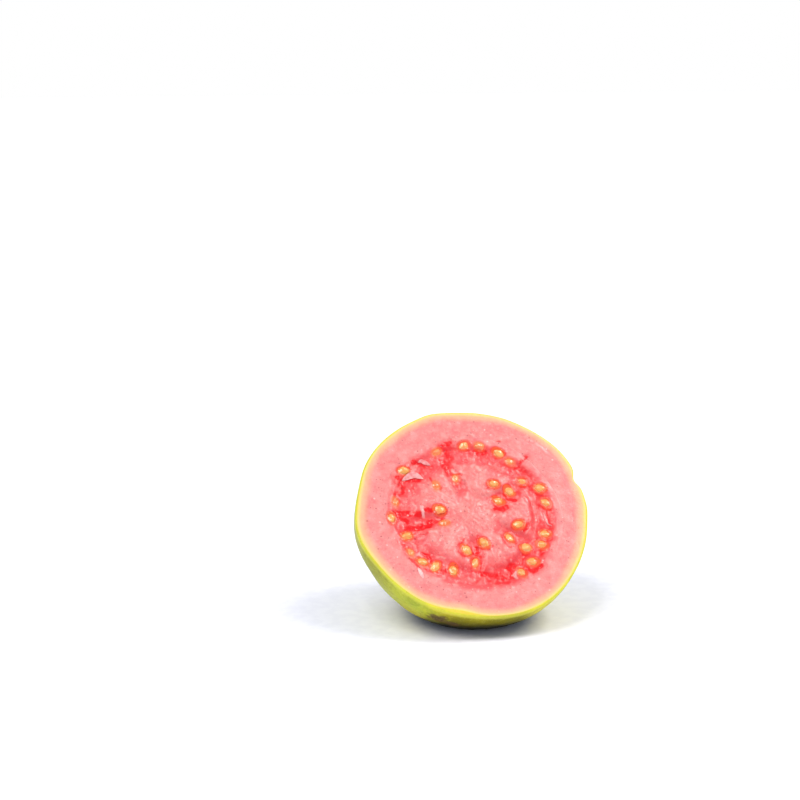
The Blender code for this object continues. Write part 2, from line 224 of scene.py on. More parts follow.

# Pale torn tissue and fibres lying in the face, with painted highlights among them: small
# white dots round the middle and near the top, and a short line just inside the rim at the
# upper right; each is given as the gel streaks are
PALE_STREAKS_AND_GLINTS = (
    (0.35, 0.8, (8.1, -16.8), (7.9, -18.8)),
    (0.45, 0.8, (-13.1, 3.0), (-12.8, 0.3)),
    (0.6, 0.8, (-2.9, 13.2), (-2.4, 12.5)),
    (0.5, 0.7, (-1.2, 13.0), (-0.7, 12.2)),
    (0.6, 0.8, (3.3, 13.7), (3.7, 12.8)),
    (0.5, 0.6, (1.9, 13.8), (2.6, 14.4)),
    (0.4, 0.6, (-14.9, -1.7), (-14.0, -1.5)),
    (0.5, 0.6, (-11.9, -4.3), (-10.7, -4.6)),
    (0.35, 0.6, (-10.9, -11.4), (-9.2, -11.9)),
    (0.5, 0.7, (-15.9, -10.5), (-15.2, -11.1)),
    (0.45, 0.5, (-17.1, -7.4), (-16.2, -8.0)),
    # Small white dots round the middle and further out: painted highlights
    (0.4, 0.9, (1.7, 2.9), (2.0, 2.9)),
    (0.35, 0.8, (4.8, -1.2), (5.1, -1.1)),
    (0.35, 0.7, (7.4, -0.9), (7.7, -0.7)),
    (0.35, 0.7, (-10.0, -6.6), (-9.9, -7.0)),
    (0.3, 0.6, (-1.2, 1.9), (-1.0, 0.9)),
    (0.7, 0.5, (-0.4, 6.0), (-0.8, 4.9)),
    (0.7, 0.4, (1.6, 9.4), (2.0, 8.0)),
    (0.35, 0.8, (6.3, -20.9), (6.5, -21.2)),
    (0.3, 0.6, (-7.5, -18.3), (-7.4, -18.8)),
    (0.4, 0.6, (-6.5, 11.8), (-6.3, 11.3)),
    (0.3, 0.6, (14.3, 4.0), (14.8, 2.6)),
    (0.35, 0.5, (11.0, 10.5), (11.4, 10.4)),
    (0.35, 0.5, (11.3, 8.2), (11.7, 7.8)),
    (0.3, 0.6, (7.5, -13.5), (7.8, -13.6)),
    (0.4, 0.5, (12.5, -6.2), (13.1, -5.9)),
    # Painted highlights: a short line of glints just inside the rim at the upper right
    (0.4, 0.6, (18.4, 21.2), (19.2, 20.9)),
    (0.4, 0.7, (20.4, 20.0), (21.3, 18.9)),
    (0.4, 0.6, (21.7, 18.3), (22.4, 17.2)),
    (0.4, 0.4, (-12.8, 9.6), (-12.3, 9.2)),
    (0.4, 0.4, (-14.5, 7.8), (-13.8, 6.8)),
    (0.4, 0.5, (-15.3, 4.6), (-14.8, 3.8)),
    (0.3, 0.5, (-9.4, -0.9), (-8.9, -1.0)),
    (0.5, 0.4, (-6.4, -4.2), (-6.8, -5.2)),
    (0.35, 0.5, (4.6, -10.4), (4.3, -12.0)),
    (0.4, 0.5, (14.8, -8.4), (14.2, -8.8)),
    (0.4, 0.4, (-16.0, -5.0), (-15.4, -5.2)),
    # Painted highlights near the top of the face
    (0.3, 0.6, (-1.9, 22.9), (-1.2, 22.4)),
    (0.3, 0.7, (0.5, 27.6), (0.9, 27.3)),
    (0.4, 0.6, (3.4, 23.8), (4.0, 23.3)),
    (0.3, 0.5, (-0.7, 25.4), (-0.4, 25.2)),
)

# Slivers of membrane that stand up from the face: the widest half width, how far they
# stand proud, and the points that they run through
MEMBRANES = (
    (0.75, 0.55, (-16.8, 11.3), (-15.2, 12.1), (-13.6, 12.7), (-12.3, 12.2), (-11.2, 11.4)),
    (0.45, 0.45, (-11.8, 16.4), (-10.9, 16.8), (-10.0, 16.0), (-8.6, 15.4)),
    (0.40, 0.40, (-16.6, -14.0), (-16.1, -15.6), (-15.6, -17.6)),
    (0.18, 0.30, (18.5, -0.2), (18.8, -1.8), (19.1, -3.8), (20.1, -4.3)),
    (0.22, 0.30, (8.2, -16.8), (7.9, -17.8), (8.0, -18.9)),
    (0.28, 0.35, (-13.2, 2.9), (-12.9, 1.6), (-13.0, 0.3)),
    (0.20, 0.25, (14.2, 4.1), (14.6, 3.2), (14.8, 2.5)),
)

# Thickness of a membrane and of a sepal
MEMBRANE_THICK = 0.14
SEPAL_THICK = 0.22

# A streak is full out to the first share of its half width and gone at the second, and the
# tissue round it is soaked out to the third
STREAK_REACH = (0.15, 1.5, 3.2)

# Depth of the gel's red: in soaked tissue, as a share of its streak's, along the seams,
# round a bare seed, and at most in the ring of seeds
SOAKED_RED = 0.38
SEAM_RED = 0.38
SEED_RED = 0.85
RING_RED = 0.75

# How far gel lies low, pale tissue and painted highlights stand up, and gel climbs the side of a bare seed
GEL_SINK = 0.16
PALE_RISE = 0.16
GEL_CLIMB = 0.26

# Scars on the peel, each as its middle in millimetres in the part's frame, its radius
# and its strength
SCARS = (
    ((-12.8, -14.8, 4.2), 4.6, 1.0),
    ((-8.4, -14.0, 2.8), 3.2, 0.9),
    ((-4.6, -14.2, 2.4), 2.2, 0.6),
    ((3.0, -17.5, 3.6), 1.5, 0.6),
    ((9.0, -16.5, 4.0), 1.2, 0.6),
    ((17.5, 18.0, 20.0), 2.8, 1.0),
    ((21.0, 15.0, 34.0), 1.6, 0.8),
    ((-16.0, 24.0, 22.0), 3.4, 0.9),
    ((-6.0, 27.0, 36.0), 2.0, 0.8),
    ((4.0, 29.0, 24.0), 1.4, 0.7),
    ((-26.0, 8.0, 20.0), 1.8, 0.7),
)

# Share of the face's wetness that shows as a clear coat, and the angle past which an edge
# stays sharp
JUICE_SHINE = 0.60
SHARP_EDGE = math.radians(60)

# The room is a little cool and the lamps a little warm, so that shadows turn blue-grey
ROOM_TINT = (0.88, 0.94, 1.0)
LAMP_TINT = (1.0, 0.96, 0.90)
SUN_SPREAD = math.radians(30)
GLINT_WIDTH = 0.06

# The photograph's width in pixels and the pixel that shows the middle of the cut face, then
# where the camera stands from that middle: how far left of -Y, how far above level, and how
# many metres away
PICTURE = 800
FACE_PIXEL = (472.5, 511.1)
CAMERA_LEFT = math.radians(14.4)
CAMERA_UP = math.radians(15)
CAMERA_AWAY = 0.4822
SENSOR = 36.0


def srgb(hex_colour):
    """A colour written as sRGB hex, as the linear values that a shader takes."""
    levels = [int(hex_colour[start:start + 2], 16) / 255 for start in (1, 3, 5)]
    return tuple(level / 12.92 if level <= 0.04045 else ((level + 0.055) / 1.055) ** 2.4 for level in levels)


def colour(name, description, hex_colour):
    """A colour that a user can change."""
    return bpy.props.FloatVectorProperty(
        name=name, description=description, default=srgb(hex_colour), size=3, min=0, max=1, subtype="COLOR")


def length(name, description, default):
    """A length that a user can change, in metres."""
    return bpy.props.FloatProperty(
        name=name, description=description, default=default, min=0, unit="LENGTH", subtype="DISTANCE")


def share(name, description, default):
    """A plain share from 0 to 1 that a user can change."""
    return bpy.props.FloatProperty(
        name=name, description=description, default=default, min=0, max=1, subtype="FACTOR")


class GuavaPeel(bpy.types.PropertyGroup):
    """Colours and relief of the peel"""

    ripe: colour("Ripe yellow", "Peel where it has turned", "#D8CB2C")
    green: colour("Green", "Peel that is still green", "#AEBE38")
    olive: colour("Olive", "Deepest green, in patches", "#746D02")
    # Dark is painted shade on the skin round the resting spot
    dark: colour("Dark", "Skin in the shade of the resting spot", "#2B2709")
    russet: colour("Russet", "Brown corky scars", "#644C34")
    dimple: length("Dimple depth", "How deep the low dimples of the peel are", 0.00012)
    gloss: share("Wax", "How much the peel's wax shines", 0.04)


class GuavaFace(bpy.types.PropertyGroup):
    """Colours and wetness of the cut face"""

    flesh: colour("Flesh", "Firm outer flesh", "#DE807E")
    pulp: colour("Pulp", "Soft pulp between the seeds", "#E05053")
    heart: colour("Heart", "Pale core and lobes", "#D97370")
    gel: colour("Gel", "Wet gel in the seams", "#DC0C16")
    fibre: colour("Fibre", "Torn fibres lying in the face", "#E6A49E")
    # Amber also paints shade under each seed and paints light round the foot of a bare seed
    amber: colour("Amber", "Glow of seeds under the pulp", "#F8703C")
    rim: colour("Rim", "Yellow line under the peel", "#D5C238")
    cream: colour("Cream", "Pale band inside the rim", "#E7B187")
    wetness: share("Wetness", "How much juice lies on the face", 0.5)


class GuavaSeed(bpy.types.PropertyGroup):
    """Size and colours of the seeds"""

    long: length("Length", "Length of a seed", 0.0036)
    wide: length("Width", "Width of a seed", 0.0026)
    thick: length("Thickness", "Thickness of a seed", 0.0021)
    husk: colour("Husk", "Top of a bare seed", "#DE9842")
    edge: colour("Edge", "Side of a seed, where gel clings", "#FF8644")


class GuavaStudio(bpy.types.PropertyGroup):
    """Table, light and camera"""

    table: length("Table", "Width of the table", 6.0)
    white: colour("Table colour", "Colour of the table", "#EEEEFC")
    sky: bpy.props.FloatProperty(
        name="Room light", description="Strength of the light from all round", default=0.667, min=0)
    side: bpy.props.FloatProperty(
        name="Side light", description="Strength of each broad light, one from either side",
        default=1.455, min=0)
    lens: bpy.props.FloatProperty(
        name="Lens", description="Focal length in millimetres",
        default=85.0, min=10, subtype="DISTANCE_CAMERA")


def ramp(value, low, high):
    """0 below low, 1 above high, and a smooth rise between them."""
    part = np.clip((value - low) / (high - low), 0, 1)
    return part * part * (3 - 2 * part)


def fade(value, low, high):
    """1 below low, 0 above high, and a smooth fall between them."""
    return 1 - ramp(value, low, high)


def clock_gap(clock, other):
    """Degrees between two clock angles, the short way round, with its sign."""
    return (clock - other + 180) % 360 - 180


def hump(clock, at, width):
    """1 at one clock angle, falling away smoothly on both sides over a width in degrees."""
    return np.exp(-(clock_gap(clock, at) / width) ** 2)


def polar(x, y):
    """Distance from the middle of the face, and clock angle in degrees."""
    return np.hypot(x, y), np.degrees(np.arctan2(y, x)) % 360


def beside_seam(clock):
    """Degrees from the nearest seam between two seed chambers."""
    return np.min([np.abs(clock_gap(clock, septum)) for septum in SEPTA], axis=0)


def swell(clock):
    """How far the skin stands out from a true circle at a clock angle."""
    return sum(height * hump(clock, at, width) for at, height, width in RIM_SWELLS)


def lobe_factor(clock):
    """The pulp's outline: it bulges at each seed chamber and draws in at each seam."""
    return 1 + LOBE_WAVE * (2 * ramp(beside_seam(clock), 0, 30) - 1)


def noise_at(places, size, shift=0.0):
    """Smooth noise from about -1 to 1, with features of one size, at each place."""
    away = Vector((shift, shift, shift))
    return np.array([noise.noise(Vector(place) / size + away) for place in places])


def near_path(x, y, path):
    """Distance from each place on the face to a line through some points."""
    nearest = np.full(len(x), 1e9)
    for (x0, y0), (x1, y1) in zip(path, path[1:]):
        dx, dy = x1 - x0, y1 - y0
        along = np.clip(((x - x0) * dx + (y - y0) * dy) / (dx * dx + dy * dy), 0, 1)
        nearest = np.minimum(nearest, np.hypot(x - x0 - along * dx, y - y0 - along * dy))
    return nearest


def rounded(path):
    """A line through some points with its corners cut three times over, as rows of an array."""
    line = np.array(path, dtype=float)
    for _ in range(3):
        ahead = line[:-1] * 0.75 + line[1:] * 0.25
        behind = line[:-1] * 0.25 + line[1:] * 0.75
        line = np.concatenate([line[:1], np.stack([ahead, behind], axis=1).reshape(-1, 2), line[-1:]])
    return line


def streaked(x, y, streaks, soaked):
    """How strongly a set of streaks colours each place, from 0 to 1.

    The tissue round a streak takes a share of its depth, given as soaked.
    """
    full, gone, soak = STREAK_REACH
    total = np.zeros(len(x))
    for half, depth, *path in streaks:
        away = near_path(x, y, path)
        total = np.maximum(total, depth * fade(away, full * half, gone * half))
        total = np.maximum(total, soaked * depth * fade(away, half, soak * half))
    return total


def seed_place(seed):
    """Middle of a seed on the face, and the turn of its long axis with its waver.

    Sunk ground looks lower from the camera, so a seed there is set further up the face.
    """
    distance, clock, lie, _, waver = seed
    outward = math.radians(clock)
    lying = math.radians(lie) + waver
    settings = bpy.context.scene.guava_seed
    wide, long = settings.wide * 1000, settings.long * 1000
    reach = (wide + (long - wide) * abs(math.cos(lying - outward))) / 2
    distance = min(distance, PULP_RADIUS * float(lobe_factor(np.array([clock]))[0]) - reach - GAP)
    sunk = float(pulp_relief(np.array([distance]), np.array([float(clock)]))[0])
    return distance * math.cos(outward), distance * math.sin(outward) - SEEN_LOWER * sunk, lying


def drawn_seeds():
    """Every seed with its waver, in the order that the solids draw them."""
    draw = random.Random(SEED_DRAW)
    return [(*seed, draw.uniform(-SEED_TURN, SEED_TURN)) for seed in SEEDS]


def seed_rings(x, y):
    """How far out from the nearest seed each place is, the same for its glow, and its cover.

    The first two are 0 in the middle and 1 on the outline. A glow lies lower than its seed, where it paints
    shade under the seed.
    """
    settings = bpy.context.scene.guava_seed
    rings, below, veils = np.full(len(x), 9.0), np.full(len(x), 9.0), np.zeros(len(x))
    for seed in drawn_seeds():
        sx, sy, lying = seed_place(seed)
        for shift, store in ((0.0, rings), (GLOW_AND_SHADE_DROP, below)):
            dx, dy = x - sx, y - sy + shift
            along = (dx * math.cos(lying) + dy * math.sin(lying)) / (settings.long * 500)
            across = (dy * math.cos(lying) - dx * math.sin(lying)) / (settings.wide * 500)
            ring = np.hypot(along, across)
            if store is rings:
                veils[ring < rings] = seed[3]
            np.minimum(store, ring, out=store)
    return rings, below, veils


def pulp_relief(distance, clock):
    """Relief that the pulp's solid has: domed lobes, a raised core, wet seams and a sunk outer wall."""
    beside = distance * np.radians(beside_seam(clock))
    lobe = LOBE_RISE * ramp(beside, 1.0, 3.5) * ramp(distance, 3, 8) * fade(distance, 13, 17)
    seam = SEPTUM_SINK * fade(beside, 0.6, 2.6) * ramp(distance, 5.5, 8.5) * fade(distance, 18, 20.5)
    wall = WALL_SINK * ramp(distance, 14.5, 16.5) * fade(distance, 19.5, 21.5)
    core = CORE_RISE * fade(distance, 1, 5)
    return lobe + core - np.maximum(seam, wall)


def soaked_red(flat, distance, clock, beside):
    """Red of the gel between its streaks: in the ring of seeds, wettest at the lower right, and in seams."""
    ring = ramp(distance, 14.0, 17.5) * fade(distance - 1.2 * np.cos(np.radians(clock)), 18.8, 21.6)
    wetter = 0.34 + 0.14 * np.cos(np.radians(clock - 320)) - 0.22 * hump(clock, 228, 30)
    wet = ring * np.clip(wetter + 0.45 * noise_at(flat, 1.9, 77.0), 0, RING_RED)
    seams = SEAM_RED * fade(beside, 0.5, 2.4) * ramp(distance, 7.0, 9.5) * fade(distance, 17.0, 20.0)
    return np.maximum(wet, seams)


def ripeness(flat, distance, clock, beside):
    """How far each place is pulp and not firm flesh, and how far it is the pale core or a pale lobe."""
    ripe = fade(distance + 0.7 * noise_at(flat, 2.2, 31.0), 20.0, 23.2)
    blush = 0.07 + 0.22 * hump(clock, 80, 55) - 0.07 * hump(clock, 185, 40)
    lobes = ramp(beside + 0.5 * noise_at(flat, 1.6, 41.0), 0.8, 3.0) * fade(distance, 12.5, 16.5)
    return np.maximum(ripe, blush), np.maximum(lobes, fade(distance, 4.0, 8.0))


def cut_face(x, y):
    """Height of the cut face at each place, with what its tissue is made of there and where highlights and
    shade are painted on it.

    The streaks are read at places moved by noise, which tears their edges, and further up
    the face where the ground is sunk.
    """
    distance, clock = polar(x, y)
    beside = distance * np.radians(beside_seam(clock))
    flat = np.stack([x, y, np.zeros(len(x))], axis=1)
    relief = (1 - JUICE_FILL) * pulp_relief(distance, clock)
    torn_x = x + 0.45 * noise_at(flat, 1.3, 3.7) + 0.18 * noise_at(flat, 0.45, 9.1)
    torn_y = y + 0.45 * noise_at(flat, 1.3, 17.3) + 0.18 * noise_at(flat, 0.45, 23.9) + SEEN_LOWER * relief
    gel = streaked(torn_x, torn_y, GEL_STREAKS, SOAKED_RED)
    gel = np.maximum(gel, soaked_red(flat, distance, clock, beside))
    # Pale marks: torn tissue and fibres, with painted highlights among them
    pale = streaked(torn_x, torn_y, PALE_STREAKS_AND_GLINTS, 0.0)
    rings, below, veils = seed_rings(x, y)
    bare = 1 - veils
    gel = np.maximum(gel, SEED_RED * fade(rings, 0.9, 1.55) * bare)
    # Amber set lower than each seed is partly gel colour and partly painted shade under the seed; round a
    # covered seed it is the seed showing through
    glow = np.maximum(fade(below, 0.7, 1.35) * (0.40 + 0.15 * bare), veils * fade(rings, 0.6, 1.2))
    # Painted light: an amber ring at the foot of each bare seed lifts the shade there
    glow = np.maximum(glow, 0.7 * fade(rings, 0.95, 1.25) * bare)
    ripe, heart = ripeness(flat, distance, clock, beside)
    climb = np.exp(-((rings - 0.95) / 0.35) ** 2)
    height = relief - GEL_SINK * gel + PALE_RISE * pale + GEL_CLIMB * climb * ramp(bare, 0.0, 0.6)
    height += 0.10 * noise_at(flat, 2.6, 51.0) * (0.35 + 0.65 * ripe)
    height += 0.09 * noise_at(flat, 0.8, 61.0) * (0.25 + 0.75 * ripe)
    return height, gel, pale, glow, ripe, heart


def turned(profile, steps):
    """A closed body turned from a profile of (radius, height) points, axis to axis."""
    body = bmesh.new()
    points = [body.verts.new((radius, 0.0, height)) for radius, height in profile]
    edges = [body.edges.new(pair) for pair in zip(points, points[1:])]
    bmesh.ops.spin(
        body, geom=points + edges, cent=(0, 0, 0), axis=(0, 0, 1), dvec=(0, 0, 0),
        angle=math.tau, steps=steps, use_merge=True, use_duplicate=False)
    bmesh.ops.remove_doubles(body, verts=body.verts, dist=0.0008)
    bmesh.ops.dissolve_degenerate(body, edges=body.edges, dist=0.0004)
    bmesh.ops.recalc_face_normals(body, faces=body.faces)
    return body


def hollow_arc(radius, depth):
    """Points of a quarter oval under the cut face, from its rim down to the axis."""
    angles = [math.pi / 2 * (1 - step / HOLLOW_STEPS) for step in range(1, HOLLOW_STEPS + 1)]
    return [(radius * math.sin(angle), -depth * math.cos(angle)) for angle in angles]


def skin_point(angle):
    """Place of the skin, as (radius, height), at an angle from the blossom end."""
    reach = FRUIT_RADIUS - POLE_DROP * math.exp(-(angle / POLE_SPREAD) ** 2)
    return reach * math.sin(angle), -reach * math.cos(angle) * FRUIT_DEPTH / FRUIT_RADIUS


def places_of(mesh):
    """Every point of a mesh, as rows of an array."""
    flat = np.empty(len(mesh.vertices) * 3)
    mesh.vertices.foreach_get("co", flat)
    return flat.reshape(-1, 3)


def paint(mesh, name, *channels):
    """Store up to three values at every point, for a material to read as one colour."""
    values = np.ones((len(mesh.vertices), 4))
    for column, channel in enumerate(channels):
        values[:, column] = channel
    layer = mesh.attributes.new(name, "FLOAT_COLOR", "POINT")
    layer.data.foreach_set("color", values.ravel())


def mesh_from(body, name):
    """Turn a finished bmesh into a mesh."""
    mesh = bpy.data.meshes.new(name)
    body.to_mesh(mesh)
    body.free()
    return mesh


def leaning_mesh(body, name):
    """Turn a body that was built in the fruit's frame into a mesh in the part's frame, in metres."""
    bmesh.ops.transform(body, matrix=TO_PART, verts=body.verts)
    return mesh_from(body, name)


def take_in(body, one):
    """Add one small body to the body of its piece."""
    part = mesh_from(one, "small_part")
    body.from_mesh(part)
    bpy.data.meshes.remove(part)


def thickened(film, thickness):
    """Give a film its thickness, with every side facing out."""
    bmesh.ops.recalc_face_normals(film, faces=film.faces)
    bmesh.ops.solidify(film, geom=film.faces[:], thickness=thickness)
    bmesh.ops.recalc_face_normals(film, faces=film.faces)
    return film


def finish_piece(mesh, materials, replaced=None):
    """Make a mesh a piece, with its materials, its body in the frame and the node that it replaces."""
    piece = bpy.data.objects.new(mesh.name, mesh)
    bpy.context.scene.collection.objects.link(piece)
    for material in materials:
        mesh.materials.append(material)
    mesh.shade_smooth()
    mesh.set_sharp_from_angle(angle=SHARP_EDGE)
    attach(piece, "root")
    if replaced:
        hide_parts(replaced)


def add(tree, kind, values=None, links=None, **settings):
    """Add one shader node: settings are its own switches, values fill its sockets, links feed them."""
    node = tree.nodes.new("ShaderNode" + kind)
    for name, value in settings.items():
        setattr(node, name, value)
    for socket, value in (values or {}).items():
        node.inputs[socket].default_value = value
    for socket, source in (links or {}).items():
        tree.links.new(source, node.inputs[socket])
    return node


def new_material(name):
    """An empty material, and the tree to build in."""
    material = bpy.data.materials.new(name)
    material.use_nodes = True
    material.node_tree.nodes.clear()
    return material, material.node_tree


def rgba(value):
    """A colour with its alpha, as a socket takes it."""
    return (*value, 1.0)


def per_metre(millimetres):
    """Scale of a texture whose features are one size."""
    return 1000 / millimetres


def layered(tree, base, layers):
    """Lay colours over one another in order, each where a pattern runs between two levels.

    A layer is its pattern, the levels where it starts and is full, how strong it is when
    full, and its colour. A mix of colours takes them at sockets 6 and 7 and gives output 2.
    """
    for pattern, start, full, strength, over in layers:
        cover = add(tree, "MapRange", {"From Min": start, "From Max": full, "To Max": strength},
                    {"Value": pattern}, interpolation_type="SMOOTHSTEP")
        values, links = {7: rgba(over)}, {0: cover.outputs["Result"]}
        if isinstance(base, bpy.types.NodeSocket):
            links[6] = base
        else:
            values[6] = rgba(base)
        base = add(tree, "Mix", values, links, data_type="RGBA").outputs[2]
    return base


def painted(tree, name):
    """The three values that paint stored at every point under one name."""
    stored = add(tree, "Attribute", attribute_name=name).outputs["Color"]
    return add(tree, "SeparateColor", links={0: stored}).outputs[:3]


def scattered(tree, places, size, spread):
    """Small spots of a few sizes, in some cells of a pattern only: 0 in the middle of a spot."""
    cells = add(tree, "TexVoronoi", {"Scale": per_metre(size), "Randomness": 1.0},
                {"Vector": places})
    links = {0: cells.outputs["Color"], 2: cells.outputs["Distance"]}
    return add(tree, "Math", {1: spread}, links, operation="MULTIPLY_ADD").outputs[0]


def fruit_coordinates(tree):
    """Places in the fruit's own frame, so that a pattern turns with the fruit."""
    source = add(tree, "TexCoord")
    turn = add(tree, "Mapping", links={"Vector": source.outputs["Object"]}, vector_type="TEXTURE")
    turn.inputs["Location"].default_value = FRUIT_FRAME.to_translation()
    turn.inputs["Rotation"].default_value = FRUIT_FRAME.to_euler()
    return turn.outputs["Vector"]


def cut_tissue(name, roughness):
    """Freshly cut guava: moist, slightly clear tissue that light enters, with wet seams.

    The eye gets soft mottled pink that glows a little, small dark specks, pale specks that
    are painted highlights, pale streaks of torn tissue with painted highlights among them, red
    gel with a sharp shine, amber round the seeds with painted shade under each one and
    painted light at a bare seed's foot and, at the edge, the yellow and cream bands under the
    peel. The specks are drawn about twice as coarse as they grow, so that they show.
    """
    look = bpy.context.scene.guava_face
    material, tree = new_material(name)
    places = fruit_coordinates(tree)
    gel, pale, glow = painted(tree, "tissue")
    ripe, heart, edge = painted(tree, "zone")
    blotch = add(tree, "TexNoise", {"Scale": per_metre(2.8), "Detail": 4.0}, {"Vector": places})
    mottle = add(tree, "TexNoise", {"Scale": per_metre(0.9), "Detail": 5.0, "Roughness": 0.7},
                 {"Vector": places})
    direction = add(tree, "VectorMath", links={0: places}, operation="NORMALIZE").outputs[0]
    rays = add(tree, "TexNoise", {"Scale": 11.0, "Detail": 4.0, "Roughness": 0.65},
               {"Vector": direction})
    fibre = add(tree, "Math", {}, {0: rays.outputs["Fac"], 1: heart}, operation="MULTIPLY")
    dark_specks = scattered(tree, places, 1.15, 0.33)
    painted_glints = scattered(tree, places, 1.7, 0.50)

    base = layered(tree, look.flesh, (
        (ripe, 0.0, 1.0, 1.0, look.pulp),
        (heart, 0.0, 1.0, 1.0, look.heart),
        (blotch.outputs["Fac"], 0.46, 0.70, 0.50, srgb("#E69C96")),
        (blotch.outputs["Fac"], 0.48, 0.30, 0.45, srgb("#D35F65")),
        (mottle.outputs["Fac"], 0.52, 0.72, 0.50, srgb("#CB4D56")),
        (mottle.outputs["Fac"], 0.46, 0.30, 0.45, srgb("#ECADA7")),
        (fibre.outputs[0], 0.50, 0.70, 0.45, look.fibre),
        (gel, 0.05, 0.76, 1.0, look.gel),
        # Amber: seeds showing through the pulp, painted shade under each seed, and painted light at a bare
        # seed's foot
        (glow, 0.0, 1.0, 0.9, look.amber),
        # Pale streaks: torn tissue and fibres, with painted highlights among them
        (pale, 0.0, 1.0, 0.9, look.fibre),
        (dark_specks, 0.33, 0.17, 0.65, srgb("#A5363D")),
        # Painted highlights: small pale specks
        (painted_glints, 0.29, 0.16, 0.60, srgb("#F0C9C3")),
        (edge, 0.32, 0.12, 0.80, look.cream),
        (edge, 0.14, 0.06, 0.85, srgb("#E4CD78")),
        (edge, 0.065, 0.035, 1.0, look.rim),
    ))

    moist = add(tree, "MapRange", {"To Min": roughness, "To Max": 0.12}, {"Value": gel})
    fine = add(tree, "Bump", {"Strength": 0.6, "Distance": 0.00016},
               {"Height": mottle.outputs["Fac"]})
    broad = add(tree, "Bump", {"Strength": 0.4, "Distance": 0.0003},
                {"Height": blotch.outputs["Fac"], "Normal": fine.outputs["Normal"]})
    shader = add(tree, "BsdfPrincipled", {
        "IOR": 1.38, "Metallic": 0.0, "Subsurface Weight": 0.45, "Subsurface Scale": 0.0012,
        "Subsurface Radius": (1.0, 0.35, 0.25), "Coat Weight": JUICE_SHINE * look.wetness,
        "Coat Roughness": 0.10, "Coat IOR": 1.34,
    }, {"Base Color": base, "Roughness": moist.outputs["Result"], "Normal": broad.outputs["Normal"]})
    add(tree, "OutputMaterial", links={"Surface": shader.outputs[0]})
    return material


def guava_peel():
    """Ripe guava peel: thin and waxy, but nearly dull, with pores and corky scars.

    The eye gets yellow that drifts to green, mottled with olive, with darker olive towards
    the bottom and at the far left that is partly painted shade, a bright lip at the cut that
    is partly painted light, a fine stipple of pores, a few dull brown scars and painted deep
    shade where the fruit rests.
    """
    look = bpy.context.scene.guava_peel
    material, tree = new_material("waxy_guava_peel")
    places = fruit_coordinates(tree)
    scar, green, shade = painted(tree, "marks_and_shade")
    lip, flank, _ = painted(tree, "edges")
    cloud = add(tree, "TexNoise", {"Scale": per_metre(14), "Detail": 3.0}, {"Vector": places})
    patch = add(tree, "TexNoise", {"Scale": per_metre(3.5), "Detail": 5.0, "Roughness": 0.6},
                {"Vector": places})
    cork = add(tree, "TexNoise", {"Scale": per_metre(1.1), "Detail": 5.0, "Roughness": 0.7},
               {"Vector": places})
    pores = add(tree, "TexVoronoi", {"Scale": per_metre(0.75), "Randomness": 1.0},
                {"Vector": places})
    worn = add(tree, "Math", {}, {0: scar, 1: cork.outputs["Fac"]}, operation="MULTIPLY").outputs[0]
    flecks = scattered(tree, places, 2.2, 0.35)

    base = layered(tree, look.ripe, (
        (cloud.outputs["Fac"], 0.40, 0.66, 1.0, look.green),
        (flank, 0.0, 1.0, 0.70, look.green),
        # Olive: partly the peel's deeper green, partly painted shade towards the bottom and at the far left
        (green, 0.0, 1.0, 1.0, look.olive),
        (patch.outputs["Fac"], 0.48, 0.70, 0.42, look.olive),
        (cork.outputs["Fac"], 0.50, 0.68, 0.38, look.olive),
        (cork.outputs["Fac"], 0.45, 0.30, 0.36, srgb("#DACF52")),
        # Lip: partly the peel's yellow edge, partly painted light near the cut
        (lip, 0.0, 1.0, 0.60, srgb("#DEDA50")),
        # Painted shade of the resting spot
        (shade, 0.0, 1.0, 1.0, look.dark),
        (pores.outputs["Distance"], 0.32, 0.10, 0.20, srgb("#E0DB81")),
        (flecks, 0.24, 0.14, 0.50, look.russet),
        (worn, 0.18, 0.50, 0.85, look.russet),
        (worn, 0.46, 0.62, 0.60, srgb("#3A2E23")),
    ))

    dull = add(tree, "MapRange", {"To Min": 0.40, "To Max": 0.75}, {"Value": scar})
    fine = add(tree, "Bump", {"Strength": 0.35, "Distance": 0.00008},
               {"Height": pores.outputs["Distance"]})
    broad = add(tree, "Bump", {"Strength": 0.35, "Distance": 0.0003},
                {"Height": patch.outputs["Fac"], "Normal": fine.outputs["Normal"]})
    shader = add(tree, "BsdfPrincipled", {
        "IOR": 1.45, "Metallic": 0.0, "Subsurface Weight": 0.12, "Subsurface Scale": 0.0010,
        "Subsurface Radius": (1.0, 0.8, 0.25), "Coat Weight": look.gloss, "Coat Roughness": 0.28,
        "Specular IOR Level": 0.08,
    }, {"Base Color": base, "Roughness": dull.outputs["Result"], "Normal": broad.outputs["Normal"]})
    add(tree, "OutputMaterial", links={"Surface": shader.outputs[0]})
    return material


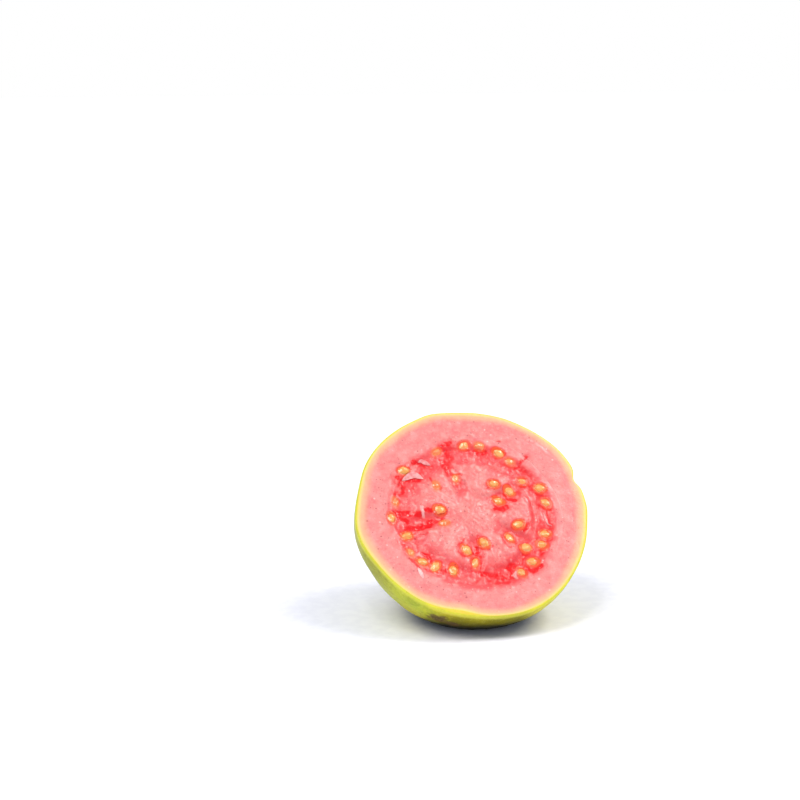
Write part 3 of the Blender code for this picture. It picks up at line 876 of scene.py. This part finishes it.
def gelled_seed():
    """Guava seed in its film of gel: hard straw husk under a wet clear coat.

    The eye gets a pale warm top with a small sharp highlight, orange sides and a red
    foot, where the gel is thickest and hides the edge of the seed.
    """
    look = bpy.context.scene.guava_seed
    face = bpy.context.scene.guava_face
    material, tree = new_material("gelled_guava_seed")
    places = fruit_coordinates(tree)
    top, veil, tint = painted(tree, "tissue")
    grain = add(tree, "TexNoise", {"Scale": per_metre(0.7), "Detail": 4.0, "Roughness": 0.65},
                {"Vector": places})
    base = layered(tree, face.gel, (
        (top, 0.02, 0.25, 1.0, look.edge),
        (top, 0.25, 0.75, 1.0, look.husk),
        (tint, 0.2, 1.0, 0.35, srgb("#E8B165")),
        (grain.outputs["Fac"], 0.48, 0.72, 0.55, look.edge),
        (grain.outputs["Fac"], 0.42, 0.26, 0.45, srgb("#ECCC81")),
        (veil, 0.0, 1.0, 1.0, face.amber),
    ))
    bump = add(tree, "Bump", {"Strength": 0.5, "Distance": 0.00018},
               {"Height": grain.outputs["Fac"]})
    shader = add(tree, "BsdfPrincipled", {
        "IOR": 1.45, "Metallic": 0.0, "Roughness": 0.35, "Subsurface Weight": 0.5, "Subsurface Scale": 0.0010,
        "Subsurface Radius": (1.0, 0.5, 0.2), "Coat Weight": 0.9, "Coat Roughness": 0.05, "Coat IOR": 1.6,
    }, {"Base Color": base, "Normal": bump.outputs["Normal"]})
    add(tree, "OutputMaterial", links={"Surface": shader.outputs[0]})
    return material


def torn_membrane():
    """Seed-chamber membrane, torn by the knife: a pale film that lets some light through.

    The eye gets whitish pink slivers that catch the light and cast a thin shadow.
    """
    look = bpy.context.scene.guava_face
    material, tree = new_material("torn_guava_membrane")
    places = fruit_coordinates(tree)
    grain = add(tree, "TexNoise", {"Scale": per_metre(0.8), "Detail": 3.0}, {"Vector": places})
    base = layered(tree, srgb("#EDA9A7"), ((grain.outputs["Fac"], 0.42, 0.68, 1.0, srgb("#E28383")),))
    shader = add(tree, "BsdfPrincipled", {
        "IOR": 1.38, "Metallic": 0.0, "Roughness": 0.28, "Subsurface Weight": 0.1, "Subsurface Scale": 0.0003,
        "Subsurface Radius": (1.0, 0.5, 0.45), "Coat Weight": look.wetness, "Coat Roughness": 0.08,
    }, {"Base Color": base})
    add(tree, "OutputMaterial", links={"Surface": shader.outputs[0]})
    return material


def dried_husk():
    """Dried calyx: brittle brown-black leaf tissue with no shine.

    The eye gets dark, rough, slightly streaked flakes with paler worn edges.
    """
    material, tree = new_material("dried_calyx_husk")
    places = fruit_coordinates(tree)
    streak = add(tree, "TexNoise", {"Scale": per_metre(0.9), "Detail": 5.0}, {"Vector": places})
    base = layered(tree, srgb("#1A140F"), (
        (streak.outputs["Fac"], 0.35, 0.55, 1.0, srgb("#33261B")),
        (streak.outputs["Fac"], 0.55, 0.75, 1.0, srgb("#63492F")),
    ))
    bump = add(tree, "Bump", {"Strength": 0.8, "Distance": 0.0002},
               {"Height": streak.outputs["Fac"]})
    shader = add(tree, "BsdfPrincipled", {"IOR": 1.45, "Metallic": 0.0, "Roughness": 0.82},
                 {"Base Color": base, "Normal": bump.outputs["Normal"]})
    add(tree, "OutputMaterial", links={"Surface": shader.outputs[0]})
    return material


def studio_board():
    """Matt white board under the fruit: an even, dull white that takes a soft shadow."""
    look = bpy.context.scene.guava_studio
    material, tree = new_material("matt_white_board")
    source = add(tree, "TexCoord")
    grain = add(tree, "TexNoise", {"Scale": per_metre(3), "Detail": 2.0},
                {"Vector": source.outputs["Object"]})
    base = layered(tree, look.white, ((grain.outputs["Fac"], 0.40, 0.60, 1.0, srgb("#F2F2FF")),))
    shader = add(tree, "BsdfPrincipled", {
        "IOR": 1.45, "Metallic": 0.0, "Roughness": 0.9, "Specular IOR Level": 0.1,
    }, {"Base Color": base})
    add(tree, "OutputMaterial", links={"Surface": shader.outputs[0]})
    return material


class GUAVA_OT_skin_and_flesh(bpy.types.Operator):
    """Build the peel and the firm flesh inside it, with the hollow that the pulp fills"""

    bl_idname = "guava.skin_and_flesh"
    bl_label = "Skin and flesh"

    def execute(self, context):
        mesh = mesh_from(turned(self.profile(), TURN_STEPS), "guava_skin_and_flesh")
        drawn = places_of(mesh)
        distance, clock = polar(drawn[:, 0], drawn[:, 1])
        depth = -drawn[:, 2]
        reach = np.linalg.norm(drawn, axis=1)
        on_face = depth < 0.001
        inside = np.hypot(distance / (HOLLOW_RADIUS + 0.02), depth / (HOLLOW_DEPTH + 0.02)) < 1
        outer = ~inside & ~on_face
        outward = ramp(reach, PULP_RADIUS, FRUIT_RADIUS)
        scale = np.where(inside, 1.0, 1 + outward * fade(depth, *SWELL_FADE) * swell(clock) / FRUIT_RADIUS)
        scale += np.where(outer, self.dimples(drawn, distance, depth) / np.maximum(reach, 1), 0.0)
        scale -= FLATS / FRUIT_RADIUS * outward
        places = drawn * scale[:, None]
        wave = (lobe_factor(clock) - 1) * fade(reach, HOLLOW_RADIUS + 0.05, HOLLOW_RADIUS + 3)
        places[:, :2] *= 1 + wave[:, None] * (inside | on_face)[:, None]
        places[:, :2] += PULP_SHIFT * fade(reach, HOLLOW_RADIUS + GAP, SHIFT_REACH)[:, None]
        self.raise_face(mesh, places, on_face)
        places = self.settled(places)
        self.paint_peel(mesh, places, depth)
        mesh.vertices.foreach_set("co", (places / 1000).ravel())
        mesh.update()
        materials = (guava_peel(), cut_tissue("cut_guava_flesh", 0.34))
        finish_piece(mesh, materials, "skin_and_flesh")
        fleshy = np.where(outer | (reach > FRUIT_RADIUS - 0.12), 0, 1)
        for face in mesh.polygons:
            face.material_index = int(min(fleshy[list(face.vertices)]))
        return {"FINISHED"}

    def profile(self):
        """Outline from the calyx's seat, round the peel, over the rim and down the hollow."""
        seat_radius, mouth = skin_point(SEAT_ANGLE)
        floor = mouth + SEAT_DEPTH
        points = [(0.0, floor), (1.2, floor + 0.05), (2.4, floor), (3.6, floor - 0.05)]
        points += [(seat_radius - 0.5, floor), (seat_radius - 0.1, floor - 0.2), (seat_radius, mouth + 0.4)]
        for step in range(PEEL_STEPS):
            points.append(skin_point(SEAT_ANGLE + (math.pi / 2 - SEAT_ANGLE) * step / PEEL_STEPS))
        points += [(FRUIT_RADIUS - cut, cut - RIM_ROUND) for cut in (0.0, 0.5 * RIM_ROUND, RIM_ROUND)]
        start = FRUIT_RADIUS - RIM_ROUND - 0.15
        for ring in range(FLESH_STEPS + 1):
            points.append((start + (HOLLOW_RADIUS - start) * ring / FLESH_STEPS, 0.0))
        return points + hollow_arc(HOLLOW_RADIUS, HOLLOW_DEPTH)

    def dimples(self, drawn, distance, depth):
        """Low dimples of the peel, gone at the rim and round the calyx."""
        deep = bpy.context.scene.guava_peel.dimple * 1000
        bumps = deep * noise_at(drawn, 7.0, 5.0) + 0.25 * deep * noise_at(drawn, 2.0, 8.0)
        return bumps * (ramp(depth, 0.0, 2.0) * ramp(distance, 5.2, 7.0))

    def raise_face(self, mesh, places, on_face):
        """Raise the relief of the cut face, and paint its tissue, with its painted highlights and shade, and
        the bands inside its rim.

        The bands are wider at the left, at the right and a little at the top. They lie
        further in at the bottom, and are chipped away in the notch.
        """
        x, y = places[:, 0], places[:, 1]
        height, gel, pale, glow, ripe, heart = cut_face(x - PULP_SHIFT[0], y - PULP_SHIFT[1])
        distance, clock = polar(x, y)
        margin = FRUIT_RADIUS + swell(clock) - distance
        places[:, 2] += np.where(on_face, height * ramp(margin, 0.6, 2.0), 0.0)
        edge = np.clip((margin - 0.8 * hump(clock, 254, 11) + 0.9 * hump(clock, 15, 4)) / 10, 0, 1)
        wide = 0.92 + 0.28 * hump(clock, 185, 45) + 0.27 * hump(clock, 350, 30) + 0.15 * hump(clock, 95, 30)
        wide += 0.18 * noise_at(places, 5.0, 12.0)
        paint(mesh, "tissue", gel, pale, glow)
        paint(mesh, "zone", ripe, heart, edge / wide)

    def settled(self, places):
        """Lean the fruit back and press its resting spot flat, with a soft edge."""
        turn = np.array(FRUIT_FRAME.to_3x3())
        lying = places @ turn.T + np.array(FRUIT_FRAME.to_translation()) * 1000
        lying[:, 2] = 0.5 * (lying[:, 2] + np.sqrt(lying[:, 2] ** 2 + REST_EDGE ** 2))
        return lying

    def paint_peel(self, mesh, lying, depth):
        """Paint scars, olive that is partly deeper green and partly painted shade, the painted shade of the
        resting spot, the lip, partly painted light, and the green flank.
        """
        scar = np.zeros(len(lying))
        warped = lying + 1.2 * np.stack([noise_at(lying, 2.2, shift) for shift in (71.0, 83.0, 97.0)], axis=1)
        for middle, radius, strength in SCARS:
            away = np.linalg.norm(warped - np.array(middle), axis=1)
            scar = np.maximum(scar, strength * fade(away, 0.35 * radius, 1.1 * radius))
        left, up = -lying[:, 0], lying[:, 2]
        # Olive towards the bottom, less at the right and again at the far left: partly the peel's deeper
        # green, partly painted shade
        low = fade(up + 1.5 * noise_at(lying, 6.0, 44.0), 3.0, 10.0)
        low *= 1 - 0.9 * ramp(-left, 7.0, 15.0) - 0.8 * ramp(left, 11.0, 17.0)
        low = np.maximum(low, 0.50 * ramp(left, 20.0, 27.0))
        back = 0.5 * ramp(depth, 14.0, 27.0)
        # Painted shade: the skin turns near black within a few millimetres of the table
        shade = fade(up + 0.6 * noise_at(lying, 3.0, 45.0), 0.6, 5.2)
        flank = ramp(left + 2.0 * noise_at(lying, 5.0, 46.0), 15.0, 22.0)
        paint(mesh, "marks_and_shade", scar, np.maximum(low, back), shade)
        # The lip is partly the peel's yellow edge at the cut, partly painted light
        paint(mesh, "edges", fade(depth, 0.2, 2.2), flank)


class GUAVA_OT_pulp(bpy.types.Operator):
    """Build the soft pulp: its wet relief on the cut face and its rounded underside"""

    bl_idname = "guava.pulp"
    bl_label = "Pulp"

    def execute(self, context):
        radius = HOLLOW_RADIUS + PULP_LAP
        edge = -0.03
        points = list(reversed(hollow_arc(radius, HOLLOW_DEPTH + PULP_LAP)))
        points += [(radius, -0.25), (radius, edge)]
        for ring in range(1, PULP_STEPS + 1):
            points.append((radius * (1 - ring / PULP_STEPS), edge if ring < 2 else 0.0))
        mesh = mesh_from(turned(points, TURN_STEPS), "guava_pulp")
        places = places_of(mesh)
        distance, clock = polar(places[:, 0], places[:, 1])
        places[:, :2] *= lobe_factor(clock)[:, None]
        on_face = places[:, 2] > edge - 0.01
        height, gel, pale, glow, ripe, heart = cut_face(places[:, 0], places[:, 1])
        places[:, 2] += np.where(on_face, height, 0.0)
        places[:, :2] += PULP_SHIFT
        paint(mesh, "tissue", gel, pale, glow)
        paint(mesh, "zone", ripe, heart, 1.0)
        turn = np.array(FRUIT_FRAME.to_3x3())
        places = places @ turn.T / 1000 + np.array(FRUIT_FRAME.to_translation())
        mesh.vertices.foreach_set("co", places.ravel())
        mesh.update()
        finish_piece(mesh, (cut_tissue("seedy_guava_pulp", 0.30),), "pulp_with_seeds")
        return {"FINISHED"}


class GUAVA_OT_seeds(bpy.types.Operator):
    """Set every seed in its pocket, more than half sunk in the pulp"""

    bl_idname = "guava.seeds"
    bl_label = "Seeds"

    def execute(self, context):
        look = context.scene.guava_seed
        size = Matrix.Diagonal((look.long * 500, look.wide * 500, look.thick * 500, 1))
        body = bmesh.new()
        tops, veils, tints = [], [], []
        draw = random.Random(SEED_DRAW + 1)
        for seed in drawn_seeds():
            x, y, lying = seed_place(seed)
            veil = seed[3]
            one = bmesh.new()
            bmesh.ops.create_icosphere(one, subdivisions=4, radius=1.0)
            tint = draw.uniform(0.0, 1.0)
            away = Vector((draw.uniform(0, 50), 0, 0))
            fill = draw.uniform(*SEED_FILL)
            for point in one.verts:
                narrow = 1 - SEED_TAPER * max(point.co.x, 0.0) ** 2
                point.co.y *= narrow
                point.co.z *= narrow
                tops.append(float(ramp(point.co.z + 0.35 * noise.noise(point.co * 1.8 + away), 0.0, 1.0)))
                veils.append(VEIL_TINT * veil)
                tints.append(tint)
                lumps = 0.20 * noise.noise(point.co * 1.4 + away) + 0.06 * noise.noise(point.co * 3.5 + away)
                point.co *= fill * (1 + lumps)
            seat = float(cut_face(np.array([x]), np.array([y]))[0][0])
            middle = (x + PULP_SHIFT[0], y + PULP_SHIFT[1], seat + SEED_LIFT - SEED_SINK - VEIL_SINK * veil)
            lie = Matrix.Translation(middle) @ Matrix.Rotation(lying, 4, "Z") @ size
            bmesh.ops.transform(one, matrix=lie, verts=one.verts)
            take_in(body, one)
        mesh = leaning_mesh(body, "guava_seeds")
        paint(mesh, "tissue", np.array(tops), np.array(veils), np.array(tints))
        finish_piece(mesh, (gelled_seed(),), "pulp_with_seeds")
        return {"FINISHED"}


class GUAVA_OT_membranes(bpy.types.Operator):
    """Stand the torn slivers of membrane up from the cut face"""

    bl_idname = "guava.membranes"
    bl_label = "Torn membranes"

    def execute(self, context):
        body = bmesh.new()
        for half, proud, *path in MEMBRANES:
            take_in(body, self.sliver(half, proud, path))
        finish_piece(leaning_mesh(body, "torn_membranes"), (torn_membrane(),))
        return {"FINISHED"}

    def sliver(self, half, proud, path):
        """One thin film along a path: widest in its middle, arched, with its upper edge lifted."""
        one = bmesh.new()
        bmesh.ops.create_grid(one, x_segments=28, y_segments=6, size=1.0)
        line = rounded(path)
        steps = np.concatenate([[0], np.cumsum(np.hypot(*np.diff(line, axis=0).T))])
        slope = np.gradient(line, axis=0)
        slope /= np.linalg.norm(slope, axis=1)[:, None]
        across = np.array([point.co.y for point in one.verts])
        at = np.array([(point.co.x + 1) / 2 for point in one.verts]) * steps[-1]
        x, y, run_x, run_y = (np.interp(at, steps, column) for column in (*line.T, *slope.T))
        width = half * np.sin(np.pi * np.clip(at / steps[-1], 0.03, 0.97)) ** 0.8
        x, y = x - run_y * across * width, y + run_x * across * width
        curl = 0.5 * (1 + across) * width / half
        ground = cut_face(x, y)[0]
        for point, px, py, low, lift in zip(one.verts, x, y, ground, curl):
            point.co = (px + PULP_SHIFT[0], py + PULP_SHIFT[1], low + 0.06 + proud * lift)
        return thickened(one, MEMBRANE_THICK)


class GUAVA_OT_calyx(bpy.types.Operator):
    """Build the dried calyx: its ring in the seat, the ragged sepals and the withered middle"""

    bl_idname = "guava.calyx"
    bl_label = "Dried calyx"

    def execute(self, context):
        seat_radius, mouth = skin_point(SEAT_ANGLE)
        radius = seat_radius - GAP
        base, seated = mouth + SEAT_DEPTH - 0.05, mouth - GAP
        lip = seated - 0.6
        points = [(0.0, base), (radius * 0.5, base), (radius, base), (radius, seated + 0.4), (radius, seated)]
        points += [(radius - 0.05, lip + 0.15), (radius - 0.25, lip), (radius - 0.6, lip)]
        points += [(radius - 0.95, lip + 0.2), (3.3, lip + 0.7), (2.4, lip + 1.0), (1.5, lip + 1.15)]
        points += [(0.8, lip + 0.9), (0.45, lip + 0.2), (0.3, lip), (0.0, lip - 0.05)]
        body = turned(points, 80)
        for point in body.verts:
            rough = noise.noise(point.co * 0.9) * 0.16 + noise.noise(point.co * 2.4) * 0.07
            if point.co.z < seated + 0.3:
                point.co.z += rough
        draw = random.Random(SEED_DRAW)
        for count in range(5):
            take_in(body, self.sepal(18 + 72 * count, radius, seated, draw.uniform(0.7, 1.1), count))
        finish_piece(leaning_mesh(body, "guava_calyx"), (dried_husk(),), "dried_calyx")
        return {"FINISHED"}

    def sepal(self, clock, radius, seated, length, count):
        """One dried sepal: broad at the ring, torn at its tip, curled a little off the skin."""
        one = bmesh.new()
        bmesh.ops.create_grid(one, x_segments=16, y_segments=12, size=1.0)
        turn = math.radians(clock)
        out, side = Vector((math.cos(turn), math.sin(turn), 0)), Vector((-math.sin(turn), math.cos(turn), 0))
        for point in one.verts:
            along, across = (point.co.x + 1) / 2, point.co.y
            torn = 1 - 0.16 * abs(noise.noise(Vector((across * 2.2, count * 7.0, 0)))) - 0.10 * across ** 2
            reach = radius - 0.7 + (0.7 + 2.15 * length * torn) * along
            width = 1.5 * (1 - 0.45 * along ** 1.5)
            cup = 0.10 * across ** 2 + 0.05 * noise.noise(Vector((along * 3, across * 3, count)))
            spot = out * reach + side * across * width
            point.co = (spot.x, spot.y, seated - 0.12 - 0.32 * length * along - cup)
        return thickened(one, SEPAL_THICK)


class GUAVA_OT_stage(bpy.types.Operator):
    """Lay the table, hang the lights and set up the camera"""

    bl_idname = "guava.stage"
    bl_label = "Stage"

    def execute(self, context):
        look = context.scene.guava_studio
        body = bmesh.new()
        bmesh.ops.create_grid(body, x_segments=2, y_segments=2, size=look.table / 2)
        table = bpy.data.objects.new("table", mesh_from(body, "table"))
        table.data.materials.append(studio_board())
        context.scene.collection.objects.link(table)
        self.room(look)
        self.lamp("left_light", "SUN", (-0.52, -0.28, 0.84), look.side, SUN_SPREAD)
        self.lamp("right_light", "SUN", (0.55, -0.20, 0.84), 0.92 * look.side, SUN_SPREAD)
        self.lamp("left_glint", "AREA", (-0.16, -0.26, 0.60), 0.40, GLINT_WIDTH)
        self.lamp("right_glint", "AREA", (0.30, -0.05, 0.55), 0.29, GLINT_WIDTH)
        self.camera(look)
        context.scene.view_settings.view_transform = "Standard"
        return {"FINISHED"}

    def room(self, look):
        """Even, slightly cool light from all round, which the camera sees as plain white."""
        world = bpy.data.worlds.new("white_room")
        bpy.context.scene.world = world
        world.use_nodes = True
        tree = world.node_tree
        tree.nodes.clear()
        rays = add(tree, "LightPath")
        glow = add(tree, "Background", {"Color": rgba(ROOM_TINT), "Strength": look.sky})
        plain = add(tree, "Background", {"Color": (1, 1, 1, 1), "Strength": 1.0})
        links = {0: rays.outputs["Is Camera Ray"], 1: glow.outputs[0], 2: plain.outputs[0]}
        both = add(tree, "MixShader", links=links)
        add(tree, "OutputWorld", links={"Surface": both.outputs[0]})

    def lamp(self, name, kind, place, strength, spread):
        """One lamp that looks at the middle of the cut face."""
        light = bpy.data.lights.new(name, kind)
        light.energy = strength
        light.color = LAMP_TINT
        if kind == "SUN":
            light.angle = spread
        else:
            light.size = spread
        lamp = bpy.data.objects.new(name, light)
        bpy.context.scene.collection.objects.link(lamp)
        lamp.location = place
        aim = FRUIT_FRAME.to_translation() - Vector(place)
        lamp.rotation_euler = aim.to_track_quat("-Z", "Y").to_euler()

    def camera(self, look):
        """Stand the camera where the photograph was taken from, with the face at its pixel."""
        right, down = FACE_PIXEL[0] - PICTURE / 2, FACE_PIXEL[1] - PICTURE / 2
        focal = look.lens / SENSOR * PICTURE
        flat, rise = math.cos(CAMERA_UP), math.sin(CAMERA_UP)
        away = Vector((-math.sin(CAMERA_LEFT) * flat, -math.cos(CAMERA_LEFT) * flat, rise))
        ray = math.sqrt(right ** 2 + down ** 2 + focal ** 2)
        turn = math.atan2(-away.y, -away.x) - math.acos(right / ray / flat)
        ahead = math.sqrt(flat ** 2 - (right / ray) ** 2)
        pitch = math.atan2(-rise, ahead) + math.atan2(down, focal)
        data = bpy.data.cameras.new("photo_camera")
        data.lens = look.lens
        data.sensor_width = SENSOR
        data.clip_start = 0.01
        camera = bpy.data.objects.new("photo_camera", data)
        bpy.context.scene.collection.objects.link(camera)
        camera.location = FRUIT_FRAME.to_translation() + away * CAMERA_AWAY
        camera.rotation_euler = (math.pi / 2 + pitch, 0.0, turn)
        bpy.context.scene.camera = camera


class GUAVA_PT_sidebar(bpy.types.Panel):
    """Sizes, colours and pieces of the half guava"""

    bl_idname = "GUAVA_PT_sidebar"
    bl_label = "Guava half"
    bl_space_type = "VIEW_3D"
    bl_region_type = "UI"
    bl_category = "Guava"

    def draw(self, context):
        for name, group in GROUPS:
            box = self.layout.box()
            box.label(text=group.__doc__)
            for setting in group.__annotations__:
                box.prop(getattr(context.scene, name), setting)
        for piece in PIECES:
            self.layout.operator(piece.bl_idname)


GROUPS = (
    ("guava_peel", GuavaPeel),
    ("guava_face", GuavaFace),
    ("guava_seed", GuavaSeed),
    ("guava_studio", GuavaStudio),
)
PIECES = (
    GUAVA_OT_skin_and_flesh,
    GUAVA_OT_pulp,
    GUAVA_OT_seeds,
    GUAVA_OT_membranes,
    GUAVA_OT_calyx,
    GUAVA_OT_stage,
)


def register():
    """Make the settings, the operators and the panel known."""
    for name, group in GROUPS:
        bpy.utils.register_class(group)
        setattr(bpy.types.Scene, name, bpy.props.PointerProperty(type=group))
    for piece in (*PIECES, GUAVA_PT_sidebar):
        bpy.utils.register_class(piece)


def unregister():
    """Take them away again."""
    for piece in (GUAVA_PT_sidebar, *reversed(PIECES)):
        bpy.utils.unregister_class(piece)
    for name, group in reversed(GROUPS):
        delattr(bpy.types.Scene, name)
        bpy.utils.unregister_class(group)


def main():
    """Build every piece and the stage."""
    register()
    bpy.ops.guava.skin_and_flesh()
    bpy.ops.guava.pulp()
    bpy.ops.guava.seeds()
    bpy.ops.guava.membranes()
    bpy.ops.guava.calyx()
    bpy.ops.guava.stage()


if __name__ == "__main__":
    main()
